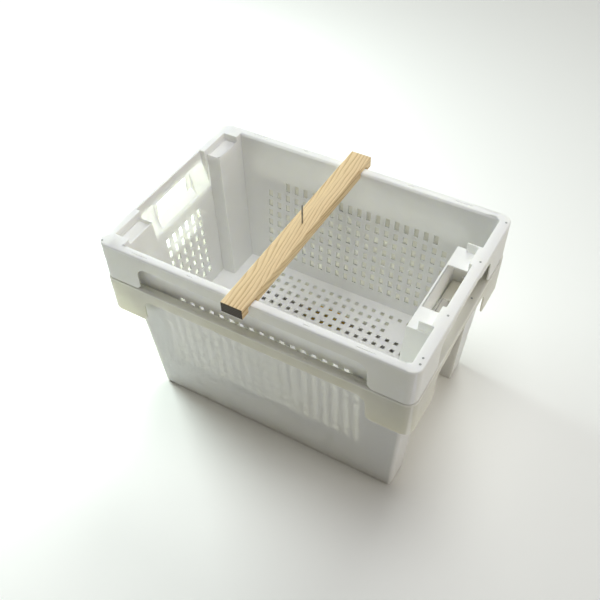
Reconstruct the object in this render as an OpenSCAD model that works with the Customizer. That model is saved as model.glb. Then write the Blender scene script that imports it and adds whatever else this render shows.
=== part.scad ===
// Uncapping tub for honey frames: a strainer basket nested in a tub, with a rest bar and a spike.

/* [Crates] */
// Length of a crate over its rim
crate_l = 600; // [560:10:640]
// Width of a crate over its rim
crate_w = 400; // [380:5:420]
// Height of one crate
crate_h = 300; // [290:5:320]
// Thickness of walls, floor, rim and skirt
wall = 3; // [2.4:0.2:3.2]
// Lean of the outer walls, in degrees
wall_draft = 3.8; // [3.6:0.1:4.2]
// Lean of the sides of the boss and the pilasters, in degrees
side_draft = 2.9; // [2.8:0.1:3.2]
// Radius of the rim's corners
rim_r = 19; // [14:1:26]
// Inner radius of the walls' corners
corner_r = 5; // [3:1:8]
// Width of the rim on the long sides
rim_side = 17.5; // [16:0.5:20]
// Width of the rim at the ends
rim_end = 19; // [17:0.5:22]
// Bevel inside the rim
lead_in = 3.5; // [2:0.5:4]

/* [Skirt] */
// Depth of the legs, by which the basket stands above the tub
leg_h = 80; // [76:1:90]
// Lean of the skirt, in degrees
skirt_draft = 1; // [0.5:0.1:1.5]
// Length of the window in a long side
side_window_l = 436; // [400:4:450]
// Depth of the skirt above a side window
side_edge = 26; // [20:1:30]
// Width of the window in an end
end_window_w = 212; // [190:2:230]
// Depth of the skirt above an end window
end_edge = 22; // [20:1:24]
// Depth of the skirt at the right handle
grip_edge = 14; // [12:1:18]
// Width of the right handle's shallow skirt
grip_w = 116; // [100:2:130]
// Radius of a window's upper corners
window_r = 20; // [12:1:24]
// Radius of a leg's foot
foot_r = 13; // [8:1:16]

/* [Right handle] */
// How far the boss stands in from the end wall
boss_d = 42; // [38:1:46]
// Width of the boss at its ledge
boss_w = 209; // [190:1:214]
// Depth of the ledge below the rim
boss_ledge = 18; // [16:1:22]
// Width of the finger opening in the ledge
pocket_w = 108; // [90:2:120]
// Extra width of the rim beside the finger opening
rim_pad = 6; // [4:1:8]
// Length of a stiffening rib along the ledge
rib_l = 25; // [18:1:28]
// Distance between the two ribs' outer faces
rib_span = 203; // [188:1:206]

/* [Left end] */
// How far a pilaster stands in from the end wall
pilaster_d = 29; // [26:1:32]
// Clear width between the pilasters at the rim
pilaster_gap = 213; // [204:1:220]
// Depth of a pilaster's lip below the rim
lip_depth = 10.5; // [8:0.5:12]
// Depth of the pan behind the lip
pan_depth = 16; // [14:0.5:18]
// Width of the solid post between the pan and the long wall
post_w = 14; // [12:1:18]
// Inset of the handle wall from the rim's outer edge
handle_inset = 10; // [9:0.5:11]
// Depth of the handle's sill below the rim
sill_depth = 60; // [56:1:64]
// Depth at which the panels beside the sill start to lean in
panel_depth = 25; // [22:1:30]
// Lean of the panels beside the sill, in degrees
panel_lean = 15; // [14:1:18]
// Width of the sill
sill_w = 112; // [104:2:120]
// Width of the hand hole
hand_w = 88; // [80:2:96]
// Depth of the hand hole's upper edge below the rim
hand_top = 27; // [25:1:32]

/* [Perforation] */
// Distance between holes across the walls and across the floor
pitch = 19.85; // [19:0.05:21]
// Distance between floor holes along the crate
floor_pitch = 19.6; // [19:0.1:21]
// Distance between rows of wall holes
row_pitch = 24; // [23:0.5:25]
// Width of a wall hole
hole_w = 9; // [6:0.5:11]
// Height of a wall hole
hole_h = 15; // [12:0.5:16]
// Extra height of the top row's holes
top_extra = 5; // [0:0.5:6]
// Side of a square floor hole
floor_hole = 8; // [5:0.5:10]
// Height of the lowest row's centre above the base
first_row = 39; // [34:1:42]
// Number of full rows
rows = 7; // [5:1:7]
// Number of columns in a long wall
side_columns = 20; // [16:1:20]
// Shift of the long walls' pattern along the crate
side_shift = 5.5; // [0:0.5:8]
// Number of columns in an end wall
end_columns = 6; // [4:1:8]
// Number of floor holes along the crate
floor_columns = 20; // [14:1:20]
// Number of floor holes across the crate
floor_rows = 15; // [11:2:15]
// Shift of the floor pattern along the crate
floor_shift = -12.3; // [-16:0.1:-8]

/* [Rim marks] */
// Length of the long slots in the rim
slot_l = 33; // [24:1:40]
// Distance of the long slots from the middle
slot_x = 211; // [200:1:220]
// Length of the short slots in the rim
short_slot_l = 12; // [8:1:16]
// Distance of the short slots from the middle
short_slot_x = 109; // [100:1:120]
// Width of a slot
slot_w = 2; // [1.5:0.1:2.5]
// Depth of a slot
slot_depth = 1; // [0.5:0.1:1.5]
// Distance of a slot from the rim's outer edge
slot_inset = 7; // [6:0.5:8]

/* [Rest bar and spike] */
// Overhang of the bar past each side of the rim
bar_over = 23.5; // [16:0.5:40]
// Width of the bar
bar_w = 40; // [30:1:50]
// Thickness of the bar
bar_t = 20.7; // [16:0.1:26]
// Depth of the notch over each side of the rim
notch_d = 10.7; // [8:0.1:12]
// Side play of a notch, on each side of the rim
notch_play = 5; // [3:0.5:8]
// Place of the bar along the crate
bar_x = -7.6; // [-60:0.1:60]
// Diameter of the spike
spike_d = 3; // [2.5:0.1:4]
// Height of the spike above the bar
spike_h = 41; // [32:1:60]
// Length of the spike's point
point_l = 6; // [4:0.5:9]
// Diameter of the spike's head
head_d = 7; // [6:0.5:9]
// Thickness of the spike's head
head_t = 1.4; // [1:0.1:2]

/* [Hidden] */
$fn = 48;
seat_gap = 0.3;
bore_gap = 0.05;
past = 1;
far = 400;
wall_slope = tan(wall_draft);
side_slope = tan(side_draft);
skirt_slope = tan(skirt_draft);
floor_half_l = crate_l / 2 - rim_end - wall_slope * (crate_h - wall);
floor_half_w = crate_w / 2 - rim_side - wall_slope * (crate_h - wall);
boss_top = crate_h - boss_ledge;
lip_top = crate_h - lip_depth;
pan_top = crate_h - pan_depth;
skirt_foot = crate_h - leg_h;
post_y = crate_w / 2 - rim_side - post_w;
handle_x = crate_l / 2 - handle_inset;
pocket_x = end_x(boss_top) - boss_d + wall;
basket_z = leg_h + seat_gap;
bar_z = basket_z + crate_h + seat_gap - notch_d;

// Inner half length and half width of the walls at height z
function end_x(z) = floor_half_l + wall_slope * (z - wall);
function side_y(z) = floor_half_w + wall_slope * (z - wall);
// Half width of the boss and of the gap between the pilasters at height z
function boss_y(z) = boss_w / 2 + side_slope * (boss_top - z);
function gap_y(z) = pilaster_gap / 2 - side_slope * (crate_h - z);
function row_z(row) = first_row + row_pitch * row;

// Prism along Y with its outline in XZ
module along_y(outline, half) {
    rotate([90, 0, 0]) linear_extrude(2 * half, center = true) polygon(outline);
}

// Prism along X with its outline in YZ
module along_x(outline, half) {
    rotate([90, 0, 90]) linear_extrude(2 * half, center = true) polygon(outline);
}

// Outline from z0 to z1 between two edges that lean, each given at z0 and at z1
function leaning(low0, low1, high0, high1, z0, z1) =
    [[low0, z0], [high0, z0], [high1, z1], [low1, z1]];

// Block from z0 to z1 whose four walls lean out by slope and whose corners are leaning cylinders of radius r
module drafted_block(half_l, half_w, z0, z1, slope, r) {
    rise = slope * (z1 - z0);
    flank = r / sqrt(1 + slope * slope);
    inset = r * sqrt(1 + slope * slope);
    intersection() {
        along_y(leaning(-half_l, -half_l - rise, half_l, half_l + rise, z0, z1), far);
        along_x(leaning(-half_w + flank, -half_w + flank - rise, half_w - flank, half_w - flank + rise, z0, z1),
                far);
    }
    intersection() {
        along_y(leaning(-half_l + flank, -half_l + flank - rise, half_l - flank, half_l - flank + rise, z0, z1),
                far);
        along_x(leaning(-half_w, -half_w - rise, half_w, half_w + rise, z0, z1), far);
    }
    intersection() {
        translate([-far, -far, z0]) cube([2 * far, 2 * far, z1 - z0]);
        for (sx = [-1, 1], sy = [-1, 1])
            translate([sx * (half_l - inset), sy * (half_w - inset), z0])
                rotate([0, atan(slope * sqrt(2)), atan2(sy, sx)])
                    translate([0, 0, -r]) cylinder(r = r, h = z1 - z0 + 3 * r);
    }
}

// Space that the boss takes, where skin is 0 for its inside face and wall for its outside face
module boss_space(skin) {
    top = boss_top - skin;
    intersection() {
        along_y(leaning(end_x(-past) - boss_d + skin, end_x(top) - boss_d + skin, far, far, -past, top), far);
        along_x(leaning(-boss_y(-past) + skin, -boss_y(top) + skin, boss_y(-past) - skin, boss_y(top) - skin,
                        -past, top), far);
    }
}

// Space that a pilaster takes at y > 0, up to top beside the pan and up to post_top behind it
module pilaster_space(skin, top, post_top) {
    intersection() {
        along_y(leaning(-far, -far, -end_x(-past) + pilaster_d - skin, -end_x(post_top) + pilaster_d - skin,
                        -past, post_top), far);
        union() {
            along_x(leaning(gap_y(-past) + skin, gap_y(top) + skin, far, far, -past, top), far);
            along_x(leaning(post_y + skin, post_y + skin, far, far, -past, post_top), far);
        }
    }
}

// Space that the left handle adds outside the end wall: a straight wall over a sill, with leaning panels beside it
module handle_space(skin, top) {
    x = -handle_x - skin;
    sill_z = crate_h - sill_depth - skin * tan(22.5);
    panel_z = crate_h - panel_depth;
    panel_end = -end_x(crate_h / 2) + pilaster_d / 2;
    along_y([[x, sill_z], [0, sill_z + x], [0, top], [x, top]], sill_w / 2 + skin);
    along_y([[x, panel_z], [panel_end, panel_z - (panel_end - x) / tan(panel_lean)],
             [0, panel_z], [0, top], [x, top]], gap_y(crate_h / 2) + skin);
}

// Room inside a crate with skin 0, and its outside with skin wall
module crate_form(skin, top) {
    difference() {
        union() {
            drafted_block(floor_half_l + skin - wall_slope * skin, floor_half_w + skin - wall_slope * skin,
                          wall - skin, top, wall_slope, corner_r + skin);
            intersection() {
                handle_space(skin, top);
                translate([-far, -far, wall]) cube([far, 2 * far, top - wall]);
            }
        }
        boss_space(skin);
        for (side = [0, 1])
            mirror([0, side, 0])
                pilaster_space(skin, skin > 0 ? pan_top - skin : lip_top, top + (skin > 0 ? -skin : past));
    }
}

// Window outline in a skirt, upper corners rounded and opening out at the feet
module window(width, edge) {
    top = crate_h - edge;
    half = width / 2;
    translate([-half, skirt_foot - past]) square([width, top - window_r - skirt_foot + past]);
    translate([-half + window_r, skirt_foot]) square([width - 2 * window_r, top - skirt_foot]);
    for (s = [-1, 1]) {
        translate([s * (half - window_r), top - window_r]) circle(window_r);
        difference() {
            translate([s > 0 ? half - past : -half - foot_r, skirt_foot - past])
                square([foot_r + past, foot_r + past]);
            translate([s * (half + foot_r), skirt_foot + foot_r]) circle(foot_r);
            translate([s > 0 ? half + foot_r : -half - 3 * foot_r, skirt_foot - foot_r])
                square([2 * foot_r, 3 * foot_r]);
        }
    }
}

module skirt_block(skin, z0, z1) {
    drafted_block(crate_l / 2 - skin - skirt_slope * (crate_h - z0), crate_w / 2 - skin - skirt_slope * (crate_h - z0),
                  z0, z1, skirt_slope, rim_r - skin);
}

// Rim with the skirt that hangs from it
module skirt() {
    difference() {
        skirt_block(0, skirt_foot, crate_h);
        skirt_block(wall, skirt_foot - past, crate_h - wall);
        rotate([90, 0, 0]) linear_extrude(2 * far, center = true) window(side_window_l, side_edge);
        rotate([90, 0, 90]) linear_extrude(2 * far, center = true) window(end_window_w, end_edge);
        rotate([90, 0, 90]) linear_extrude(far) window(grip_w, grip_edge);
    }
}

// Round-ended slot along X
module slot(length) {
    linear_extrude(slot_depth + past) {
        square([length - slot_w, slot_w], center = true);
        for (s = [-1, 1]) translate([s * (length - slot_w) / 2, 0]) circle(slot_w / 2, $fn = 24);
    }
}

module rim_slots() {
    for (sx = [-1, 1], sy = [-1, 1])
        translate([0, sy * (crate_w / 2 - slot_inset), crate_h - slot_depth]) {
            translate([sx * slot_x, 0, 0]) slot(slot_l);
            translate([sx * short_slot_x, 0, 0]) slot(short_slot_l);
        }
}

// Bevel inside the rim on the long sides and the left end, clear of the pilasters
module rim_bevel() {
    z0 = crate_h - lead_in;
    rise = lead_in + past;
    y = side_y(z0);
    difference() {
        intersection() {
            along_y(leaning(-handle_x, -handle_x, end_x(z0) - rim_pad, end_x(z0) - rim_pad, z0, crate_h + past),
                    far);
            along_x(leaning(-y, -y - rise, y, y + rise, z0, crate_h + past), far);
        }
        for (side = [0, 1])
            mirror([0, side, 0]) {
                pilaster_space(0, crate_h + 2 * past, crate_h + 2 * past);
                translate([-end_x(z0) - far, gap_y(crate_h / 2), 0]) cube([far, far, 2 * far]);
            }
    }
}

// Round-cornered pan behind a pilaster's lip, at y > 0
module pan() {
    length = pilaster_d - wall;
    y0 = gap_y(pan_top) + wall;
    translate([-end_x(pan_top), y0, pan_top])
        linear_extrude(far) {
            translate([corner_r, 0])
                square([length - 2 * corner_r, post_y - y0]);
            translate([0, corner_r])
                square([length, post_y - y0 - 2 * corner_r]);
            for (x = [corner_r, length - corner_r], y = [corner_r, post_y - y0 - corner_r])
                translate([x, y]) circle(corner_r);
        }
}

// Finger opening in the right ledge
module pocket() {
    translate([pocket_x, -pocket_w / 2, boss_top - wall - past])
        cube([end_x(boss_top) - pocket_x, pocket_w, wall + 2 * past]);
}

// Padded rim and rib over the right ledge, at y > 0
module ledge_rib() {
    x1 = end_x(boss_top) + wall / 2;
    translate([end_x(crate_h) - rim_pad, pocket_w / 2, boss_top - wall / 2])
        cube([x1 - end_x(crate_h) + rim_pad, rib_span / 2 - pocket_w / 2, boss_ledge + wall / 2]);
    translate([end_x(boss_top) - rib_l, rib_span / 2 - wall, boss_top - wall / 2])
        cube([rib_l, wall, boss_ledge + wall / 2]);
}

module crate() {
    difference() {
        union() {
            crate_form(wall, crate_h);
            skirt();
        }
        crate_form(0, crate_h + past);
        for (side = [0, 1]) mirror([0, side, 0]) pan();
        pocket();
        rim_bevel();
        rim_slots();
        translate([-far, -hand_w / 2, crate_h - sill_depth])
            cube([far - crate_l / 4, hand_w, sill_depth - hand_top]);
    }
    for (side = [0, 1]) mirror([0, side, 0]) ledge_rib();
}

// Wall hole outline in its row and at its place across
module wall_hole(across, row, extra) {
    translate([across - hole_w / 2, row_z(row) - hole_h / 2]) square([hole_w, hole_h + extra]);
}

// Cutters for the long walls: full rows, and a top row that leaves out the outer columns
module side_holes() {
    rotate([90, 0, 0]) linear_extrude(2 * far, center = true)
        for (i = [0 : side_columns - 1]) {
            across = side_shift + pitch * (i - (side_columns - 1) / 2);
            for (row = [0 : rows - 1]) wall_hole(across, row, 0);
            if (i > 1 && i < side_columns - 1) wall_hole(across, rows, top_extra);
        }
}

// Cutters for the left end wall and the boss's front
module end_holes() {
    rotate([90, 0, 90]) linear_extrude(2 * far, center = true)
        for (i = [0 : end_columns - 1], row = [0 : rows - 1])
            wall_hole(pitch * (i - (end_columns - 1) / 2), row, row == rows - 1 ? top_extra : 0);
}

// Cutters for the floor, without the plain patch at its far right
module floor_holes() {
    translate([0, 0, -past]) linear_extrude(wall + 2 * past)
        for (i = [0 : floor_columns - 1], j = [0 : floor_rows - 1])
            if (!(i >= floor_columns - 3 && i < floor_columns - 1 && (j == floor_rows - 2 || j == floor_rows - 3)))
                translate([floor_shift + floor_pitch * (i - (floor_columns - 1) / 2),
                           pitch * (j - (floor_rows - 1) / 2)])
                    square(floor_hole, center = true);
}

module tub() {
    color("#e9ece4") crate();
}

module basket() {
    color("#f4f6f1") translate([0, 0, basket_z])
        difference() {
            crate();
            side_holes();
            end_holes();
            floor_holes();
        }
}

// Wooden bar across the long sides, notched over the rim
module rest_bar() {
    half = crate_w / 2 + bar_over;
    notch_y0 = side_y(crate_h) + lead_in - notch_play;
    notch_y1 = crate_w / 2 + notch_play;
    color("#e8cd92") translate([bar_x, 0, bar_z])
        difference() {
            translate([-bar_w / 2, -half, 0]) cube([bar_w, 2 * half, bar_t]);
            for (side = [0, 1])
                mirror([0, side, 0])
                    translate([-bar_w / 2 - past, notch_y0, -past])
                        cube([bar_w + 2 * past, notch_y1 - notch_y0, notch_d + past]);
            translate([0, 0, -past]) cylinder(d = spike_d + 2 * bore_gap, h = bar_t + 2 * past);
        }
}

// Steel nail driven up through the bar, its head under the bar
module spike() {
    shank = bar_t + spike_h - point_l;
    color("#b9bab6") translate([bar_x, 0, bar_z]) {
        translate([0, 0, -head_t]) cylinder(d = head_d, h = head_t);
        cylinder(d = spike_d, h = shank);
        translate([0, 0, shank]) cylinder(d1 = spike_d, d2 = spike_d / 10, h = point_l);
    }
}

tub();
basket();
rest_bar();
spike();
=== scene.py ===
"""Looks of an uncapping tub: a strainer basket nested in a honey tub, a notched rest bar and its spike.

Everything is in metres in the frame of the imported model, whose origin is the centre of the tub's base.
"""

import math

import bmesh
import bpy
import numpy as np
from bpy.props import FloatProperty, FloatVectorProperty, PointerProperty
from mathutils import Euler, Matrix, Vector
from mathutils.bvhtree import BVHTree
from mathutils.geometry import delaunay_2d_cdt


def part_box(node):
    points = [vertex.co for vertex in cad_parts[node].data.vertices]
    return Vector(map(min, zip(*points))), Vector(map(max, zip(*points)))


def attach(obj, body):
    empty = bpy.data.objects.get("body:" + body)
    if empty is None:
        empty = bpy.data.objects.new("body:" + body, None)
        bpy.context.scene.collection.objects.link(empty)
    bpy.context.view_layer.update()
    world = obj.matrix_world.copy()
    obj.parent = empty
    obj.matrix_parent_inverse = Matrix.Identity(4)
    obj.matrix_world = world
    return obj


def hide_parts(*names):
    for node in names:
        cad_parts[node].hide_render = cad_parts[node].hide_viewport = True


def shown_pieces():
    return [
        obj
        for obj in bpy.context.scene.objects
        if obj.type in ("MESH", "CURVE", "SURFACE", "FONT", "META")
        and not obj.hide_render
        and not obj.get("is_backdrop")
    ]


bl_info = {
    "name": "Uncapping tub",
    "version": (1, 0, 0),
    "blender": (4, 5, 0),
    "location": "View3D > Sidebar > Uncapping tub",
    "description": "Dresses the packed tub, basket, rest bar and spike",
    "category": "Add Mesh",
}

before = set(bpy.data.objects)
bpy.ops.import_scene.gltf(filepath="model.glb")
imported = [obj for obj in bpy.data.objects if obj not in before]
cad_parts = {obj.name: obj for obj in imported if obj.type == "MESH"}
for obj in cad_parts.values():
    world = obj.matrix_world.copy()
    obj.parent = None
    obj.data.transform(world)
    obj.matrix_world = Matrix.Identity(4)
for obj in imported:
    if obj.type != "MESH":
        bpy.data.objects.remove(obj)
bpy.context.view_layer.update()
TUB_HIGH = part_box("tub")[1]
BASKET_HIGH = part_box("basket")[1]
BAR_LOW, BAR_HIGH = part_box("rest_bar")
SPIKE_LOW, SPIKE_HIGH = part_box("spike")

# Image points, in the photograph's 600 x 600 frame
PHOTO = 600
EDGE_POINTS = {"left": 98.0, "right": 512.5, "top": 123.5, "bottom": 486.8}
POINTS = {
    "bar_near_left": (220.0, 302.0),
    "bar_near_right": (242.0, 311.0),
    "bar_far_left": (352.0, 151.0),
    "bar_far_right": (371.0, 156.5),
    "spike_tip": (301.3, 204.5),
    "base_near_right": (388.3, 486.4),
    "base_far_right": (459.0, 361.0),
    "pip_far_corner": (506.3, 222.7),
    "pip_far": (480.5, 262.0),
    "pip_near": (448.1, 315.6),
    "pip_near_corner": (423.2, 358.1),
    "pip_corner": (420.2, 364.4),
    "pip_left": (102.0, 240.0),
    "pip_tub": (471.7, 298.2),
}

PIPS = {
    "basket": ("pip_far_corner", "pip_far", "pip_near", "pip_near_corner", "pip_corner", "pip_left"),
    "tub": ("pip_tub",),
}
PLACES = {}

# Middle of the trunk that the bar was sawn from
PITH = (-0.075, 0.0, 0.325)

# Camera solved from the points above
CAMERA_PLACE = (0.52577, -0.90583, 1.30603)
CAMERA_TURN = (43.528, 0.947, 29.889)
CAMERA_LENS = 48.714
SENSOR = 36.0

# Reading of the CAD crates: corners closer than this are one, and faces that turn less than this are one flat
MERGE_DISTANCE = 2e-5
FLAT_TURN = math.radians(0.8)

# Where a crate's edges are of one kind: depths below its rim, and distances from its middle or its outer sides
HOLES_BELOW, HOLES_ACROSS, HOLES_ALONG = 0.055, 0.186, 0.284
CORNER_REACH, CORNER_BAND = 0.02, 0.008
TOP_BAND, SIDE_BAND = 0.0002, 0.0008
SLOT_DEPTH, SLOT_OUTER, SLOT_INNER, SLOT_END = 0.0012, 0.0055, 0.0085, 0.06
BASE_ALONG, BASE_ACROSS, BASE_LEFT = 0.255, 0.163, -0.2225
SMOOTH_TURN = math.radians(22)

# A flat is tiled anew if its own tiles miss this share of its area; tiling is done in millimetres
AREA_MISS = 0.002
TILING_SCALE = 1000
TILING_STEP = 1e-4

# The bar's seat above the rim, the slope at a notch's ends, and the extra ring on each side of the middle
SEAT_GAP = 0.0003
NOTCH_HEIGHT = BASKET_HIGH.z + SEAT_GAP
NOTCH_EASE = 0.0004
NOTCH_MATCH = 0.0005
MIDDLE_RING = 0.12
SHANK = 0.0015

# Depths from the bar's end between which the sawn end's colour takes over
END_BAND = (0.0009, 0.0003)

# Height under which the tub's corners belong to its base
BASE_HEIGHT = 0.004

# The painted shade on a skirt starts this far inside a crate's outer sides and fades over this depth below the rim
SKIRT_BAND = (0.0055, 0.0035)
SKIRT_FADE = (0.001, 0.006)

# Honey left on the tub's floor
HONEY_HALF_SIZE = (0.058, 0.028, 0.0025)
HONEY_RAGGEDNESS = 0.3
HONEY_ROUGHNESS = 0.12

# Sockets of a Mix node for each kind of value: two inputs and the output
MIX_SOCKETS = {"RGBA": (6, 7, 2), "FLOAT": (2, 3, 0)}

FLOOR_REACH = 6.0
SKY_COLOUR = (1, 0.94, 0.8, 1)


# ---------------------------------------------------------------- camera and image points


def camera_matrix():
    """Camera to world: its turn, then its place."""
    turn = Euler([math.radians(a) for a in CAMERA_TURN], "XYZ").to_matrix().to_4x4()
    return Matrix.Translation(CAMERA_PLACE) @ turn


def pixels_of(points):
    """Where points show in the photograph: each is turned into the camera's axes and divided by its depth."""
    matrix = np.array(camera_matrix().inverted())
    local = np.asarray(points, float).reshape(-1, 3) @ matrix[:3, :3].T + matrix[:3, 3]
    scale = PHOTO * CAMERA_LENS / SENSOR / -local[:, 2]
    return np.stack([PHOTO / 2 + local[:, 0] * scale, PHOTO / 2 - local[:, 1] * scale], 1)


def ray_place(point, tree):
    """Where the ray through an image point meets the surface, or the surface's place nearest to the ray."""
    matrix = camera_matrix()
    ray = Vector((point[0] - PHOTO / 2, PHOTO / 2 - point[1], -PHOTO * CAMERA_LENS / SENSOR))
    start = matrix.translation
    direction = (matrix.to_3x3() @ ray).normalized()
    place = tree.ray_cast(start, direction)[0]
    if place is None:
        place = tree.find_nearest(start + direction * start.length)[0]
    return place


def tree_of(objects):
    """One BVH tree of finished meshes, modifiers included."""
    graph = bpy.context.evaluated_depsgraph_get()
    corners, faces = [], []
    for piece in objects:
        shown = piece.evaluated_get(graph)
        mesh = shown.to_mesh()
        base = len(corners)
        corners += [piece.matrix_world @ v.co for v in mesh.vertices]
        faces += [[base + i for i in p.vertices] for p in mesh.polygons]
        shown.to_mesh_clear()
    return BVHTree.FromPolygons(corners, faces)


def read(items, field, width=1, kind=float):
    """One field of all vertices, edges, faces or loops as an array, with a row for each if it has several values."""
    values = np.empty(len(items) * width, kind)
    items.foreach_get(field, values)
    return values.reshape(-1, width) if width > 1 else values


def finished_points(piece):
    """A piece's finished vertices as an array."""
    shown = piece.evaluated_get(bpy.context.evaluated_depsgraph_get())
    points = read(shown.to_mesh().vertices, "co", 3)
    shown.to_mesh_clear()
    return points


# ---------------------------------------------------------------- meshes


def mesh_piece(name, points, faces, body, material):
    """A piece from arrays of corners and faces, riding on a body."""
    mesh = bpy.data.meshes.new(name)
    mesh.from_pydata(np.asarray(points).tolist(), [], [list(map(int, f)) for f in faces])
    mesh.validate()
    mesh.polygons.foreach_set("use_smooth", [True] * len(mesh.polygons))
    mesh.materials.append(material)
    mesh.update()
    piece = bpy.data.objects.new(name, mesh)
    bpy.context.scene.collection.objects.link(piece)
    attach(piece, body)
    return piece


def grid_faces(rows, columns, wrap=False):
    """Quads of a grid of rows x columns corners, numbered row by row, closed along the columns if wrap is set."""
    r = np.arange(rows - 1)[:, None]
    c = np.arange(columns if wrap else columns - 1)[None, :]
    here, above = r * columns, (r + 1) * columns
    after = (c + 1) % columns
    return np.stack(np.broadcast_arrays(here + c, here + after, above + after, above + c), -1).reshape(-1, 4)


def tube(sections):
    """Corners and faces of a closed solid through rings of equal length, with a flat cap on each end."""
    rings, count = sections.shape[:2]
    sides = grid_faces(rings, count, wrap=True).tolist()
    caps = [list(range(count))[::-1], list(range((rings - 1) * count, rings * count))]
    return sections.reshape(-1, 3), sides + caps


def tidy(piece, sharp_angle=None):
    """Merges doubles, turns the faces outwards and, if an angle is given, marks the edges that turn more as sharp."""
    shape = bmesh.new()
    shape.from_mesh(piece.data)
    bmesh.ops.remove_doubles(shape, verts=shape.verts, dist=1e-6)
    bmesh.ops.dissolve_degenerate(shape, dist=1e-7, edges=shape.edges)
    bmesh.ops.recalc_face_normals(shape, faces=shape.faces)
    shape.to_mesh(piece.data)
    shape.free()
    if sharp_angle is not None:
        piece.data.set_sharp_from_angle(angle=sharp_angle)


def edge_facts(mesh):
    """Each edge's middle and the angle between its two faces, as arrays."""
    middle = read(mesh.vertices, "co", 3)[read(mesh.edges, "vertices", 2, int)].mean(1)
    face_of_loop = np.repeat(np.arange(len(mesh.polygons)), read(mesh.polygons, "loop_total", kind=int))
    pairs = face_of_loop[np.argsort(read(mesh.loops, "edge_index", kind=int), kind="stable")].reshape(-1, 2)
    facing = read(mesh.polygons, "normal", 3)[pairs]
    angle = np.arccos(np.clip((facing[:, 0] * facing[:, 1]).sum(1), -1, 1))
    return middle, angle


def rounding_of(middle, angle, low, high, looks):
    """Radius at each edge of a crate: none on flats and arcs, and one value for each kind of edge elsewhere."""
    depth = high.z - middle[:, 2]
    across, along = np.abs(middle[:, 1]), np.abs(middle[:, 0])
    outside = np.maximum(along - high.x, across - high.y)
    corner = np.hypot(high.x - along, high.y - across) < CORNER_REACH
    radius = np.full(len(middle), looks.arris)
    radius[(depth > HOLES_BELOW) & (across < HOLES_ACROSS) & (along < HOLES_ALONG)] = looks.hole_arris
    rim = depth < TOP_BAND
    radius[rim & ((outside > -SIDE_BAND) | (corner & (outside > -CORNER_BAND)))] = looks.rim_round
    slots = (depth < SLOT_DEPTH) & (across > high.y - SLOT_INNER) & (across < high.y - SLOT_OUTER)
    radius[slots & (along < high.x - SLOT_END)] = looks.slot_round
    base = middle[:, 2] < low.z + TOP_BAND
    outline = (along > BASE_ALONG) | (across > BASE_ACROSS) | (middle[:, 0] < BASE_LEFT)
    radius[base & outline] = looks.base_round
    radius[angle < SMOOTH_TURN] = 0
    return radius


def winding(points, outline):
    """How often an outline turns about each point: the sum of the angles that its edges span, over a full turn."""
    arms = outline[None, :, :] - points[:, None, :]
    after = np.roll(arms, -1, axis=1)
    cross = arms[..., 0] * after[..., 1] - arms[..., 1] * after[..., 0]
    return np.arctan2(cross, (arms * after).sum(-1)).sum(1) / (2 * math.pi)


def tiles_of(corners, normal):
    """Triangles over a many-sided flat face, also where rounding has made its outline cross itself a little.

    The new outline doesn't always meet the faces beside it, so the shell can stay open there.
    """
    side = np.cross(normal, np.eye(3)[np.argmin(np.abs(normal))])
    side /= np.linalg.norm(side)
    axes = np.stack([side, np.cross(normal, side)], 1)
    centre = corners.mean(0)
    flat = (corners - centre) @ axes * TILING_SCALE
    count = len(flat)
    edges = [(i, (i + 1) % count) for i in range(count)]
    places, _, tiles, sources, _, _ = delaunay_2d_cdt([Vector(p) for p in flat], edges, [], 0, TILING_STEP)
    places = np.array([tuple(p) for p in places])
    tiles = np.array([t for t in tiles if len(t) == 3])
    inside = winding(places[tiles].mean(1), flat) > 0.5
    known = [s[0] if s else -1 for s in sources]
    lifted = centre + places @ axes.T / TILING_SCALE
    return tiles[inside].tolist(), known, lifted


def retiled(source, name):
    """A mesh whose badly filled flats are tiled anew: a flat is bad if its own tiles don't add up to its area."""
    source.calc_loop_triangles()
    co = read(source.vertices, "co", 3)
    owners = read(source.loop_triangles, "polygon_index", kind=int)
    filled = np.bincount(owners, read(source.loop_triangles, "area"), len(source.polygons))
    faces, extra = [], []
    for polygon in source.polygons:
        ring = list(polygon.vertices)
        if len(ring) > 4:
            corners = co[ring]
            spread = np.cross(corners, np.roll(corners, -1, 0)).sum(0) / 2
            area = np.linalg.norm(spread)
            if abs(filled[polygon.index] - area) > AREA_MISS * area:
                tiles, known, lifted = tiles_of(corners, spread / area)
                place = []
                for source_corner, point in zip(known, lifted):
                    if source_corner < 0:
                        place.append(len(co) + len(extra))
                        extra.append(point)
                    else:
                        place.append(ring[source_corner])
                faces += [[place[i] for i in tile] for tile in tiles]
                continue
        faces.append(ring)
    mesh = bpy.data.meshes.new(name)
    mesh.from_pydata(np.concatenate([co, np.reshape(extra, (-1, 3))]).tolist(), [], faces)
    mesh.validate()
    mesh.polygons.foreach_set("use_smooth", [True] * len(mesh.polygons))
    mesh.update()
    return mesh


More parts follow.
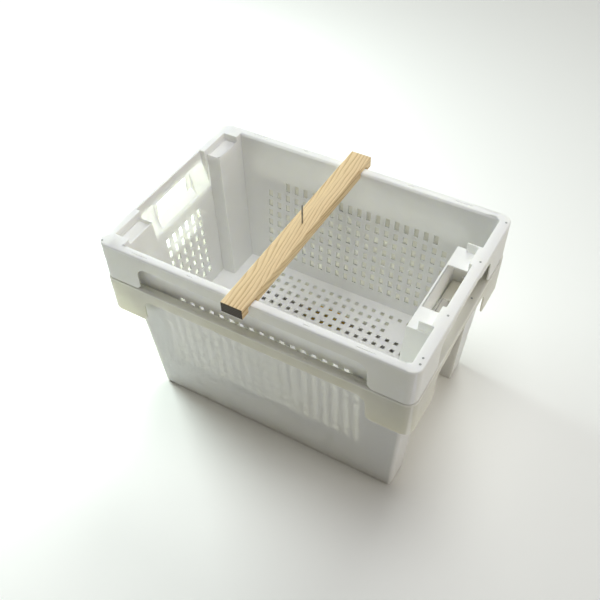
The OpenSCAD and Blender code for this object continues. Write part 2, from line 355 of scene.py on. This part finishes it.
def rounded_copy(name, node, body, material, looks):
    """A copy of a CAD crate with rounded arrises: merged, its flats joined, bevelled by kind of edge, tiled again."""
    low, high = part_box(node)
    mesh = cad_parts[node].data.copy()
    shape = bmesh.new()
    shape.from_mesh(mesh)
    bmesh.ops.remove_doubles(shape, verts=shape.verts, dist=MERGE_DISTANCE)
    bmesh.ops.dissolve_limit(shape, angle_limit=FLAT_TURN, verts=shape.verts, edges=shape.edges)
    shape.to_mesh(mesh)
    shape.free()
    middle, angle = edge_facts(mesh)
    radius = rounding_of(middle, angle, low, high, looks)
    weight = mesh.attributes.new("bevel_weight_edge", "FLOAT", "EDGE")
    weight.data.foreach_set("value", (radius / looks.rim_round).astype(np.float32))
    piece = bpy.data.objects.new(name, mesh)
    bpy.context.scene.collection.objects.link(piece)
    bevel = piece.modifiers.new("rounded arrises", "BEVEL")
    bevel.limit_method = "WEIGHT"
    bevel.width = looks.rim_round
    bevel.segments = 2
    bevel.use_clamp_overlap = False
    bevel.miter_outer = "MITER_ARC"
    rounded = piece.evaluated_get(bpy.context.evaluated_depsgraph_get()).to_mesh()
    piece.modifiers.remove(bevel)
    piece.data = retiled(rounded, name)
    piece.data.materials.append(material)
    normals = piece.modifiers.new("flat faces", "WEIGHTED_NORMAL")
    normals.mode = "FACE_AREA_WITH_ANGLE"
    normals.weight = 90
    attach(piece, body)
    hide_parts(node)
    return piece


# ---------------------------------------------------------------- shader helpers


def new_material(name):
    material = bpy.data.materials.new(name)
    material.use_nodes = True
    tree = material.node_tree
    return material, tree, tree.nodes["Principled BSDF"]


def add(tree, kind, links=None, **settings):
    """A node with its settings; links maps an input's name or index to a socket or a value."""
    node = tree.nodes.new(kind)
    for key, value in settings.items():
        setattr(node, key, value)
    for key, value in (links or {}).items():
        if isinstance(value, bpy.types.NodeSocket):
            tree.links.new(value, node.inputs[key])
        else:
            node.inputs[key].default_value = value
    return node


def maths(tree, operation, *values):
    """The result of a Math node over sockets or values."""
    return add(tree, "ShaderNodeMath", dict(enumerate(values)), operation=operation).outputs[0]


def vectors(tree, operation, *values):
    """The vector that a Vector Math node makes of sockets or values."""
    return add(tree, "ShaderNodeVectorMath", dict(enumerate(values)), operation=operation).outputs[0]


def length_of(tree, vector):
    return add(tree, "ShaderNodeVectorMath", {0: vector}, operation="LENGTH").outputs["Value"]


def mapped(tree, value, low, high, to_low=0.0, to_high=1.0):
    """A value taken from one range to another and held within it."""
    return add(tree, "ShaderNodeMapRange", {0: value, 1: low, 2: high, 3: to_low, 4: to_high}).outputs[0]


def blended(tree, kind, factor, first, second, blend_type="MIX"):
    """A mix of two colours (RGBA) or two values (FLOAT)."""
    one, two, out = MIX_SOCKETS[kind]
    links = {0: factor, one: first, two: second}
    return add(tree, "ShaderNodeMix", links, data_type=kind, blend_type=blend_type).outputs[out]


def object_place(tree):
    return add(tree, "ShaderNodeTexCoord").outputs["Object"]


def parts_of(tree, vector):
    """The X, Y and Z of a vector."""
    return add(tree, "ShaderNodeSeparateXYZ", {0: vector}).outputs


def node_group(name, inputs, outputs):
    """An empty node group with its sockets given as (name, kind), and the nodes at its two ends."""
    group = bpy.data.node_groups.new(name, "ShaderNodeTree")
    for way, sockets in (("INPUT", inputs), ("OUTPUT", outputs)):
        for socket, kind in sockets:
            group.interface.new_socket(socket, in_out=way, socket_type="NodeSocket" + kind)
    return group, group.nodes.new("NodeGroupInput").outputs, group.nodes.new("NodeGroupOutput").inputs


def ramp(tree, factor, stops):
    """A colour ramp whose stops are (place, colour)."""
    node = add(tree, "ShaderNodeValToRGB", {0: factor})
    band = node.color_ramp
    while len(band.elements) < len(stops):
        band.elements.new(1.0)
    for element, (place, colour) in zip(band.elements, stops):
        element.position = place
        element.color = (*colour, 1.0)
    return node.outputs[0]


def stretched(tree, scale):
    """Object coordinates stretched by scale along each axis."""
    return add(tree, "ShaderNodeMapping", {0: object_place(tree), 3: scale}).outputs[0]


def noise(tree, vector, scale, detail=3.0, roughness=0.5, distortion=0.0):
    links = {"Vector": vector, "Scale": scale, "Detail": detail, "Roughness": roughness, "Distortion": distortion}
    return add(tree, "ShaderNodeTexNoise", links).outputs[0]


def moulded_skin():
    """Node group of a moulded skin: cloudy tint, and a fine grain with long faint scuffs for roughness and height."""
    group = bpy.data.node_groups.get("moulded skin")
    if group:
        return group
    group, source, sink = node_group(
        "moulded skin",
        (("Colour", "Color"), ("Cloud colour", "Color"), ("Clouding", "Float"), ("Gloss", "Float")),
        (("Colour", "Color"), ("Roughness", "Float"), ("Height", "Float")),
    )
    plain = stretched(group, (1, 1, 1))
    cloudy = mapped(group, noise(group, plain, 7.0, 3.0, 0.55), 0.35, 0.75)
    amount = maths(group, "MULTIPLY", cloudy, source["Clouding"])
    tint = blended(group, "RGBA", amount, source["Colour"], source["Cloud colour"])
    grain = noise(group, plain, 1600.0, 2.0)
    scuff = noise(group, stretched(group, (30, 260, 60)), 1.0, 4.0, 0.6, 0.4)
    rough = maths(group, "ADD", mapped(group, scuff, 0.35, 0.8, -0.06, 0.16), source["Gloss"])
    height = maths(group, "MULTIPLY_ADD", noise(group, plain, 22.0, 2.0), 6.0, grain)
    for name, value in (("Colour", tint), ("Roughness", rough), ("Height", height)):
        group.links.new(value, sink[name])
    return group


def painted_skirt_shade():
    """Node group: painted shade, a colour made darker on a crate's skirt where shade falls, but not on the rim's top.
    """
    group = bpy.data.node_groups.get("painted skirt shade")
    if group:
        return group
    group, source, sink = node_group(
        "painted skirt shade", (("Colour", "Color"), ("Shade tint", "Color"), ("Rim height", "Float")), (("Colour", "Color"),)
    )
    place = object_place(group)
    split = parts_of(group, place)
    inner, outer = SKIRT_BAND
    along, across = (
        mapped(group, maths(group, "ABSOLUTE", split[axis]), half - inner, half - outer)
        for axis, half in ((0, TUB_HIGH.x), (1, TUB_HIGH.y))
    )
    depth = maths(group, "SUBTRACT", source["Rim height"], split[2])
    # Painted shade: the skirt below the rim is multiplied darker, standing for the shade that falls there
    skirt = maths(group, "MULTIPLY", maths(group, "MAXIMUM", along, across), mapped(group, depth, *SKIRT_FADE))
    patchy = mapped(group, noise(group, place, 14.0, 3.0), 0.3, 0.7, 0.8, 1.0)
    amount = maths(group, "MULTIPLY", skirt, patchy)
    tint = blended(group, "RGBA", amount, source["Colour"], source["Shade tint"], "MULTIPLY")
    group.links.new(tint, sink["Colour"])
    return group


def honey_pool():
    """Node group: 1 inside an oval pool with a ragged edge on the tub's floor, and 0 elsewhere."""
    group, source, sink = node_group(
        "honey pool", (("Middle", "Vector"), ("Half size", "Vector"), ("Raggedness", "Float")), (("Mask", "Float"),)
    )
    place = object_place(group)
    share = vectors(group, "DIVIDE", vectors(group, "SUBTRACT", place, source["Middle"]), source["Half size"])
    ragged = noise(group, place, 55.0, 2.0)
    uneven = maths(group, "MULTIPLY_ADD", ragged, source["Raggedness"], length_of(group, share))
    group.links.new(mapped(group, uneven, 1.25, 1.1), sink["Mask"])
    return group


def add_honey(material, looks):
    """Lays a glossy amber pool over a plastic's colour and roughness."""
    tree = material.node_tree
    shader = tree.nodes["Principled BSDF"]
    pool = add(tree, "ShaderNodeGroup", node_tree=honey_pool())
    pool.inputs["Middle"].default_value = tuple(looks.honey_place)
    pool.inputs["Half size"].default_value = HONEY_HALF_SIZE
    pool.inputs["Raggedness"].default_value = HONEY_RAGGEDNESS
    amber = (*looks.honey_colour, 1)
    for socket, kind, value in (("Base Color", "RGBA", amber), ("Roughness", "FLOAT", HONEY_ROUGHNESS)):
        plain = shader.inputs[socket].links[0].from_socket
        tree.links.new(blended(tree, kind, pool.outputs[0], plain, value), shader.inputs[socket])


def plastic_material(name, colour, cloud_colour, skirt_shade_tint, rim_height, soak, looks):
    """Natural polyethylene: waxy, translucent, satin, with painted shade on the skirt."""
    material, tree, shader = new_material(name)
    skin = add(tree, "ShaderNodeGroup", node_tree=moulded_skin())
    skin.inputs["Colour"].default_value = (*colour, 1)
    skin.inputs["Cloud colour"].default_value = (*cloud_colour, 1)
    skin.inputs["Clouding"].default_value = looks.clouding
    skin.inputs["Gloss"].default_value = looks.roughness
    bump = add(tree, "ShaderNodeBump", {"Height": skin.outputs["Height"], "Strength": 0.10, "Distance": 0.0002})
    # Painted shade on the skirt, under the rim's top
    shaded_skirt = add(tree, "ShaderNodeGroup", node_tree=painted_skirt_shade())
    shaded_skirt.inputs["Shade tint"].default_value = (*skirt_shade_tint, 1)
    shaded_skirt.inputs["Rim height"].default_value = rim_height
    tree.links.new(skin.outputs["Colour"], shaded_skirt.inputs["Colour"])
    tree.links.new(shaded_skirt.outputs[0], shader.inputs["Base Color"])
    tree.links.new(skin.outputs["Roughness"], shader.inputs["Roughness"])
    tree.links.new(bump.outputs[0], shader.inputs["Normal"])
    shader.inputs["IOR"].default_value = 1.5
    shader.inputs["Subsurface Weight"].default_value = looks.waxiness
    shader.inputs["Subsurface Radius"].default_value = (1.0, 1.0, 0.9)
    shader.inputs["Subsurface Scale"].default_value = soak
    return material


def wood_material(looks):
    """Softwood: growth rings about the pith that lean and wander along the bar, fibres, and dark sawn ends."""
    material, tree, shader = new_material("pine")
    place = object_place(tree)
    length = parts_of(tree, place)[1]
    wander = noise(tree, stretched(tree, (1, 0.22, 1)), 22.0, 2.0, 0.45)
    ring = length_of(tree, vectors(tree, "MULTIPLY", vectors(tree, "SUBTRACT", place, PITH), (1, 0, 1)))
    lean = maths(tree, "MULTIPLY_ADD", length, looks.grain_lean, ring)
    bent = maths(tree, "MULTIPLY_ADD", wander, 0.02, lean)
    across = add(tree, "ShaderNodeCombineXYZ", {0: bent, 1: maths(tree, "MULTIPLY", length, 0.12)})
    bands = add(
        tree,
        "ShaderNodeTexWave",
        {
            "Vector": across.outputs[0],
            "Scale": looks.grain_lines,
            "Distortion": 1.6,
            "Detail": 3.0,
            "Detail Scale": 2.0,
        },
        wave_type="BANDS",
        bands_direction="X",
        wave_profile="SAW",
    ).outputs["Fac"]
    fibres = noise(tree, stretched(tree, (1, 0.03, 1)), 1300.0, 3.0, 0.6)
    long_tint = noise(tree, stretched(tree, (1, 0.08, 1)), 70.0, 3.0, 0.55)
    mixed = maths(tree, "MULTIPLY_ADD", long_tint, 0.5, maths(tree, "MULTIPLY", bands, 0.5))
    light, dark = tuple(looks.early_wood), tuple(looks.late_wood)
    between = tuple(0.6 * a + 0.4 * b for a, b in zip(light, dark))
    colour = ramp(tree, mixed, [(0.22, light), (0.5, light), (0.62, between), (0.78, dark)])
    fibre = mapped(tree, fibres, 0.3, 0.7, 0.86, 1.06)
    shaded = add(tree, "ShaderNodeVectorMath", {0: colour, 3: fibre}, operation="SCALE").outputs[0]
    rings = add(
        tree,
        "ShaderNodeTexWave",
        {"Vector": stretched(tree, (1, 0.01, 1)), "Scale": 90.0, "Distortion": 1.5, "Detail": 2.0},
        wave_type="RINGS",
        rings_direction="Y",
    ).outputs["Fac"]
    end_light = tuple(looks.end_wood)
    end_dark = tuple(0.5 * c for c in end_light)
    end_colour = ramp(tree, rings, [(0.1, end_dark), (0.9, end_light)])
    # 1 on the bar's two end faces and 0 along it
    end = mapped(tree, maths(tree, "ABSOLUTE", length), *(BAR_HIGH.y - depth for depth in END_BAND))
    relief = maths(tree, "MULTIPLY_ADD", bands, -1.2, fibres)
    bump = add(tree, "ShaderNodeBump", {"Height": relief, "Strength": 0.35, "Distance": 0.0002})
    tree.links.new(blended(tree, "RGBA", end, shaded, end_colour), shader.inputs["Base Color"])
    tree.links.new(mapped(tree, fibres, 0.2, 0.8, 0.5, 0.68), shader.inputs["Roughness"])
    tree.links.new(bump.outputs[0], shader.inputs["Normal"])
    return material


def steel_material(looks):
    """Drawn wire: dull grey with rings from drawing and a few darker spots."""
    material, tree, shader = new_material("spike steel")
    rings = noise(tree, stretched(tree, (0.2, 0.2, 6)), 500.0, 2.0)
    spots = noise(tree, stretched(tree, (1, 1, 1)), 420.0, 4.0, 0.65)
    light = tuple(looks.steel)
    dark = tuple(0.45 * c for c in light)
    bump = add(tree, "ShaderNodeBump", {"Height": rings, "Strength": 0.2, "Distance": 0.0001})
    tree.links.new(ramp(tree, spots, [(0.35, dark), (0.55, light)]), shader.inputs["Base Color"])
    tree.links.new(mapped(tree, rings, 0.2, 0.8, 0.3, 0.5), shader.inputs["Roughness"])
    tree.links.new(bump.outputs[0], shader.inputs["Normal"])
    shader.inputs["Metallic"].default_value = 1.0
    return material


# ---------------------------------------------------------------- sizes and colours a user would change


class CrateLooks(bpy.types.PropertyGroup):
    rim_round: FloatProperty(
        name="Rim rounding", description="Radius of the rim's outer arris", default=0.0022, unit="LENGTH"
    )
    arris: FloatProperty(name="Arris", description="Radius of the other outer arrises", default=0.001, unit="LENGTH")
    hole_arris: FloatProperty(name="Hole arris", description="Radius around the holes", default=0.0006, unit="LENGTH")
    slot_round: FloatProperty(
        name="Slot arris", description="Radius around the rim's slots", default=0.0003, unit="LENGTH"
    )
    base_round: FloatProperty(
        name="Base rounding", description="Radius of the base's outline", default=0.0024, unit="LENGTH"
    )
    basket_colour: FloatVectorProperty(
        name="Basket colour", description="Natural polyethylene", default=(0.97, 0.975, 0.955), subtype="COLOR"
    )
    # Partly the tub's own warmer tone and partly painted shade: the whole tub is drawn darker than the basket to
    # stand for the shade on its sides
    tub_colour_with_shade: FloatVectorProperty(
        name="Tub colour", description="Natural polyethylene", default=(0.915, 0.895, 0.805), subtype="COLOR"
    )
    # Painted shade: how much darker the basket's and the tub's skirts are drawn
    basket_skirt_shade: FloatVectorProperty(
        name="Basket skirt", description="Tint of the basket's skirt", default=(0.88, 0.87, 0.83), subtype="COLOR"
    )
    tub_skirt_shade: FloatVectorProperty(
        name="Tub skirt", description="Tint of the tub's skirt", default=(0.74, 0.73, 0.685), subtype="COLOR"
    )
    clouding: FloatProperty(name="Clouding", description="Unevenness of the tint", default=0.5, subtype="FACTOR")
    roughness: FloatProperty(name="Roughness", description="Satin finish", default=0.38, subtype="FACTOR")
    waxiness: FloatProperty(name="Waxiness", description="Light that soaks in", default=1.0, subtype="FACTOR")
    honey_place: FloatVectorProperty(
        name="Honey",
        description="Middle of the honey left on the tub's floor",
        default=(-0.034, 0.140, 0.003),
        subtype="XYZ",
    )
    honey_colour: FloatVectorProperty(
        name="Honey colour", description="Amber", default=(1.0, 0.56, 0.06), subtype="COLOR"
    )
    pip_radius: FloatProperty(
        name="Pip radius", description="Radius of the rim's moulding pips", default=0.002, unit="LENGTH"
    )
    # Painted shade: the pips' dark grey stands for the shade in the small dimples that show as dark dots on the rims
    pip_shade_colour: FloatVectorProperty(
        name="Pip colour", description="Grey", default=(0.36, 0.37, 0.35), subtype="COLOR"
    )
    basket_soak: FloatProperty(
        name="Basket soak", description="How far light soaks in", default=0.0045, unit="LENGTH"
    )
    tub_soak: FloatProperty(name="Tub soak", description="How far light soaks in", default=0.011, unit="LENGTH")


class BarLooks(bpy.types.PropertyGroup):
    arris: FloatProperty(
        name="Arris", description="Radius of the bar's sanded arrises", default=0.0008, unit="LENGTH"
    )
    early_wood: FloatVectorProperty(
        name="Early wood", description="Light bands", default=(0.86, 0.66, 0.39), subtype="COLOR"
    )
    late_wood: FloatVectorProperty(
        name="Late wood", description="Dark bands", default=(0.56, 0.36, 0.165), subtype="COLOR"
    )
    grain_lines: FloatProperty(name="Grain lines", description="Fineness of the growth lines", default=62.0)
    grain_lean: FloatProperty(name="Grain lean", description="Sideways run of the grain along the bar", default=0.09)
    end_wood: FloatVectorProperty(
        name="End wood", description="Sawn ends", default=(0.075, 0.055, 0.03), subtype="COLOR"
    )
    steel: FloatVectorProperty(name="Steel", description="Spike", default=(0.35, 0.34, 0.31), subtype="COLOR")


class StageLooks(bpy.types.PropertyGroup):
    floor_colour: FloatVectorProperty(
        name="Floor colour", description="Plain floor", default=(0.97, 0.97, 0.97), subtype="COLOR"
    )
    overhead: FloatProperty(name="Overhead light", description="Power of the light above", default=37.0, unit="POWER")
    left: FloatProperty(
        name="Left light", description="Power of the cool lamp at the left end", default=72.0, unit="POWER"
    )
    right: FloatProperty(name="Right light", description="Strength of the low warm light from the right", default=0.7)
    back: FloatProperty(
        name="Back light", description="Strength of the light that shines through the walls", default=0.9
    )
    backdrop: FloatProperty(name="Backdrop", description="Brightness of the sky as the camera sees it", default=0.8)
    fill: FloatProperty(name="Sky", description="Strength of the surrounding light", default=0.13)


# ---------------------------------------------------------------- pieces


def bar_sections(arris):
    """The bar as rings along Y: a rounded rectangle whose underside steps up over each long rim."""
    width, top = (BAR_HIGH.x - BAR_LOW.x) / 2, BAR_HIGH.z
    middle = (BAR_HIGH.x + BAR_LOW.x) / 2
    notch_low, notch_high = notch_span()
    half = BAR_HIGH.y
    # Place along Y, height of the underside, and inset of the whole ring
    stations = [
        (half, BAR_LOW.z, arris),
        (half - arris, BAR_LOW.z, 0.0),
        (notch_high + NOTCH_EASE, BAR_LOW.z, 0.0),
        (notch_high, NOTCH_HEIGHT, 0.0),
        (notch_low, NOTCH_HEIGHT, 0.0),
        (notch_low - NOTCH_EASE, BAR_LOW.z, 0.0),
        (MIDDLE_RING, BAR_LOW.z, 0.0),
    ]
    stations = stations + [(-y, z, inset) for y, z, inset in reversed(stations)]
    turns = np.linspace(0, math.pi / 2, 4)
    corner = np.stack([1 - np.cos(turns), 1 - np.sin(turns)], 1) * arris
    back = corner[::-1]
    rings = []
    for y, low, inset in stations:
        x0, x1, z0, z1 = middle - width + inset, middle + width - inset, low + inset, top - inset
        ring = np.concatenate(
            [
                np.stack([x0 + corner[:, 0], z0 + corner[:, 1]], 1),
                np.stack([x1 - back[:, 0], z0 + back[:, 1]], 1),
                np.stack([x1 - corner[:, 0], z1 - corner[:, 1]], 1),
                np.stack([x0 + back[:, 0], z1 - back[:, 1]], 1),
            ]
        )
        rings.append(np.stack([ring[:, 0], np.full(len(ring), y), ring[:, 1]], 1))
    return np.array(rings)


def notch_span():
    """Inner and outer end of a notch along Y, read from the corners of the CAD bar's notch faces."""
    co = read(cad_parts["rest_bar"].data.vertices, "co", 3)
    seat = co[np.abs(co[:, 2] - NOTCH_HEIGHT) < NOTCH_MATCH]
    across = np.abs(seat[:, 1])
    return float(across.min()), float(across.max())


def spike_rings(sides=20):
    """The nail turned about its axis: radius as a function of height, from a domed head to a ground point."""
    middle = (SPIKE_LOW + SPIKE_HIGH) / 2
    head = (SPIKE_HIGH.x - SPIKE_LOW.x) / 2
    low, high = SPIKE_LOW.z, SPIKE_HIGH.z
    under = BAR_LOW.z
    profile = [
        (head * 0.55, low),
        (head * 0.85, low + 0.00015),
        (head, low + 0.0006),
        (head, under - 0.0002),
        (SHANK * 1.15, under + 0.0001),
        (SHANK, under + 0.002),
        (SHANK, high - 0.0065),
        (SHANK * 0.93, high - 0.0052),
        (SHANK * 0.62, high - 0.0028),
        (SHANK * 0.28, high - 0.0010),
        (SHANK * 0.1, high),
    ]
    radius, height = (np.array(column)[:, None] for column in zip(*profile))
    turn = np.linspace(0, 2 * math.pi, sides, endpoint=False)[None, :]
    x, y = middle.x + radius * np.cos(turn), middle.y + radius * np.sin(turn)
    return np.stack([x, y, np.broadcast_to(height, x.shape)], -1)


class TUB_OT_crates(bpy.types.Operator):
    """Moulds the tub and the basket with rounded arrises"""

    bl_idname = "uncapping_tub.crates"
    bl_label = "Mould the crates"

    def execute(self, context):
        looks = context.scene.crate_looks
        basket = tuple(looks.basket_colour)
        # The tub's colour holds painted shade as well as its own warmer tone
        tub = tuple(looks.tub_colour_with_shade)
        warmer = tuple(c * k for c, k in zip(basket, (1.0, 0.99, 0.94)))
        duller = tuple(c * k for c, k in zip(tub, (0.95, 0.94, 0.88)))
        # The shade on each crate's skirt is painted into its colour
        skirt_shade_tint = tuple(looks.basket_skirt_shade)
        skin = plastic_material("basket plastic", basket, warmer, skirt_shade_tint, BASKET_HIGH.z, looks.basket_soak, looks)
        rounded_copy("basket_shell", "basket", "basket", skin, looks)
        skirt_shade_tint = tuple(looks.tub_skirt_shade)
        skin = plastic_material("tub plastic", tub, duller, skirt_shade_tint, TUB_HIGH.z, looks.tub_soak, looks)
        add_honey(skin, looks)
        rounded_copy("tub_shell", "tub", "tub", skin, looks)
        return {"FINISHED"}


def pips(centres, radius):
    """Low domes: rings whose height falls from the middle as the square of their share of the radius."""
    share = np.array([1.0, 1.0, 0.85, 0.6, 0.3])
    height = np.array([-0.0004, 0.0, 0.00007, 0.00014, 0.00019])
    sides = 16
    turn = np.linspace(0, 2 * math.pi, sides, endpoint=False)
    ring = np.stack([np.cos(turn), np.sin(turn)], -1)
    flat = share[:, None, None] * ring[None] * radius
    dome = np.concatenate([flat, np.broadcast_to(height[:, None, None], (*flat.shape[:2], 1))], -1)
    points, faces = tube(dome)
    count = len(points)
    all_points = (np.asarray(centres)[:, None, :] + points[None]).reshape(-1, 3)
    all_faces = [[i + k * count for i in face] for k in range(len(centres)) for face in faces]
    return all_points, all_faces


class TUB_OT_pips(bpy.types.Operator):
    """Raises the small moulding pips on the two rims"""

    bl_idname = "uncapping_tub.pips"
    bl_label = "Raise the pips"

    def execute(self, context):
        looks = context.scene.crate_looks
        # Painted shade: the pips are drawn dark grey for the shade in the rims' small dimples
        grey = tuple(looks.pip_shade_colour)
        skin = plastic_material("pip plastic", grey, grey, (1, 1, 1), 0.0, looks.pip_radius, looks)
        for crate, names in PIPS.items():
            tree = tree_of([bpy.data.objects[crate + "_shell"]])
            centres = [ray_place(POINTS[name], tree) for name in names]
            points, faces = pips(centres, looks.pip_radius)
            tidy(mesh_piece(crate + "_pips", points, faces, crate, skin))
            PLACES.update(zip(names, centres))
        return {"FINISHED"}


class TUB_OT_bar(bpy.types.Operator):
    """Cuts the wooden rest bar with its two notches"""

    bl_idname = "uncapping_tub.bar"
    bl_label = "Cut the rest bar"

    def execute(self, context):
        looks = context.scene.bar_looks
        points, faces = tube(bar_sections(looks.arris))
        bar = mesh_piece("bar_wood", points, faces, "bar", wood_material(looks))
        tidy(bar, math.radians(35))
        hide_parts("rest_bar")
        return {"FINISHED"}


class TUB_OT_spike(bpy.types.Operator):
    """Turns the spike"""

    bl_idname = "uncapping_tub.spike"
    bl_label = "Turn the spike"

    def execute(self, context):
        points, faces = tube(spike_rings())
        steel = steel_material(context.scene.bar_looks)
        nail = mesh_piece("spike_nail", points, faces, "bar", steel)
        tidy(nail, math.radians(40))
        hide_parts("spike")
        return {"FINISHED"}


class TUB_OT_stage(bpy.types.Operator):
    """Sets the floor, the lights and the camera"""

    bl_idname = "uncapping_tub.stage"
    bl_label = "Set the stage"

    def execute(self, context):
        looks = context.scene.stage_looks
        scene = context.scene
        scene.view_settings.view_transform = "Standard"
        material, _, shader = new_material("floor")
        shader.inputs["Base Color"].default_value = (*looks.floor_colour, 1)
        shader.inputs["Roughness"].default_value = 0.8
        mesh = bpy.data.meshes.new("floor")
        corners = [(x * FLOOR_REACH, y * FLOOR_REACH, 0) for x, y in ((-1, -1), (1, -1), (1, 1), (-1, 1))]
        mesh.from_pydata(corners, [], [(0, 1, 2, 3)])
        mesh.materials.append(material)
        floor = bpy.data.objects.new("floor", mesh)
        scene.collection.objects.link(floor)
        floor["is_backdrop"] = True
        world = bpy.data.worlds.new("studio")
        world.use_nodes = True
        sky = world.node_tree.nodes["Background"]
        sky.inputs[0].default_value = SKY_COLOUR
        # The camera sees the backdrop's brightness, and everything else gets the fill light's
        seen = add(world.node_tree, "ShaderNodeLightPath").outputs["Is Camera Ray"]
        strength = maths(world.node_tree, "MULTIPLY_ADD", seen, looks.backdrop - looks.fill, looks.fill)
        world.node_tree.links.new(strength, sky.inputs[1])
        scene.world = world
        lamp("overhead light", "AREA", looks.overhead, (0.2, 0.15, 3.0), (0.98, 1.0, 1.0), aim=(0, 0, 0.2), size=1.5)
        lamp("left light", "POINT", looks.left, (-1.1, 0.2, 0.44), (0.88, 1.0, 0.95), shadow_soft_size=0.3)
        lamp("right light", "SUN", looks.right, (2.0, 0.3, 0.5), (1.0, 0.93, 0.86), angle=0.7)
        lamp("back light", "SUN", looks.back, (-0.3, 1.5, 1.2), (0.95, 1.0, 0.95), angle=0.5)
        camera = bpy.data.objects.new("camera", bpy.data.cameras.new("camera"))
        camera.data.lens = CAMERA_LENS
        camera.data.sensor_width = SENSOR
        camera.data.sensor_fit = "AUTO"
        camera.data.clip_start = 0.02
        camera.matrix_world = camera_matrix()
        scene.collection.objects.link(camera)
        scene.camera = camera
        return {"FINISHED"}


def lamp(name, kind, power, place, colour, aim=(0, 0, 0), **softness):
    """A light of one kind at a place, turned towards aim, with the setting that gives its kind soft shadows."""
    light = bpy.data.lights.new(name, kind)
    light.energy = power
    light.color = colour
    for key, value in softness.items():
        setattr(light, key, value)
    holder = bpy.data.objects.new(name, light)
    holder.location = place
    holder.rotation_euler = (Vector(aim) - Vector(place)).to_track_quat("-Z", "Y").to_euler()
    bpy.context.scene.collection.objects.link(holder)


class TUB_PT_panel(bpy.types.Panel):
    """Lists the pieces and the stage"""

    bl_label = "Uncapping tub"
    bl_idname = "TUB_PT_panel"
    bl_space_type = "VIEW_3D"
    bl_region_type = "UI"
    bl_category = "Uncapping tub"

    def draw(self, context):
        for operator in STEPS:
            self.layout.operator(operator.bl_idname)


STEPS = (TUB_OT_crates, TUB_OT_pips, TUB_OT_bar, TUB_OT_spike, TUB_OT_stage)
GROUPS = {"crate_looks": CrateLooks, "bar_looks": BarLooks, "stage_looks": StageLooks}


def nearest_vertex(piece, place):
    """The finished vertex of a piece that lies nearest to a place."""
    points = finished_points(piece)
    return points[np.argmin(((points - np.asarray(place)) ** 2).sum(1))]


def write_points():
    """Works out how far each named thing shows from its image point, and each edge of the object from its line; the
    result is not written anywhere.
    """
    bar, tub = bpy.data.objects["bar_wood"], bpy.data.objects["tub_shell"]
    tub_points = finished_points(tub)
    foot = np.abs(tub_points[tub_points[:, 2] < BASE_HEIGHT]).max(0)
    wanted = {
        "bar_near_left": (bar, (BAR_LOW.x, BAR_LOW.y, BAR_HIGH.z)),
        "bar_near_right": (bar, (BAR_HIGH.x, BAR_LOW.y, BAR_HIGH.z)),
        "bar_far_left": (bar, (BAR_LOW.x, BAR_HIGH.y, BAR_HIGH.z)),
        "bar_far_right": (bar, (BAR_HIGH.x, BAR_HIGH.y, BAR_HIGH.z)),
        "spike_tip": (bpy.data.objects["spike_nail"], ((SPIKE_LOW.x + SPIKE_HIGH.x) / 2, 0, SPIKE_HIGH.z)),
        "base_near_right": (tub, (foot[0], -foot[1], 0)),
        "base_far_right": (tub, (foot[0], foot[1], 0)),
    }
    # The pips were put where their image points' rays meet the rims, so they always show exactly there
    places = {name: nearest_vertex(*pair) for name, pair in wanted.items()} | {k: tuple(v) for k, v in PLACES.items()}
    off = {name: (pixels_of(place)[0] - POINTS[name]).round(1).tolist() for name, place in places.items()}
    shown = np.concatenate([pixels_of(finished_points(piece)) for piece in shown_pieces() if not piece.hide_render])
    (left, top), (right, bottom) = shown.min(0), shown.max(0)
    reach = {"left": left, "right": right, "top": top, "bottom": bottom}
    off |= {side: round(float(value - EDGE_POINTS[side]), 1) for side, value in reach.items()}


def register():
    for kind in (*GROUPS.values(), *STEPS, TUB_PT_panel):
        bpy.utils.register_class(kind)
    for name, kind in GROUPS.items():
        setattr(bpy.types.Scene, name, PointerProperty(type=kind))


def unregister():
    for name in GROUPS:
        delattr(bpy.types.Scene, name)
    for kind in reversed((*GROUPS.values(), *STEPS, TUB_PT_panel)):
        bpy.utils.unregister_class(kind)


def main():
    register()
    for operator in STEPS:
        group, name = operator.bl_idname.split(".")
        getattr(getattr(bpy.ops, group), name)()
    write_points()


if __name__ == "__main__":
    main()
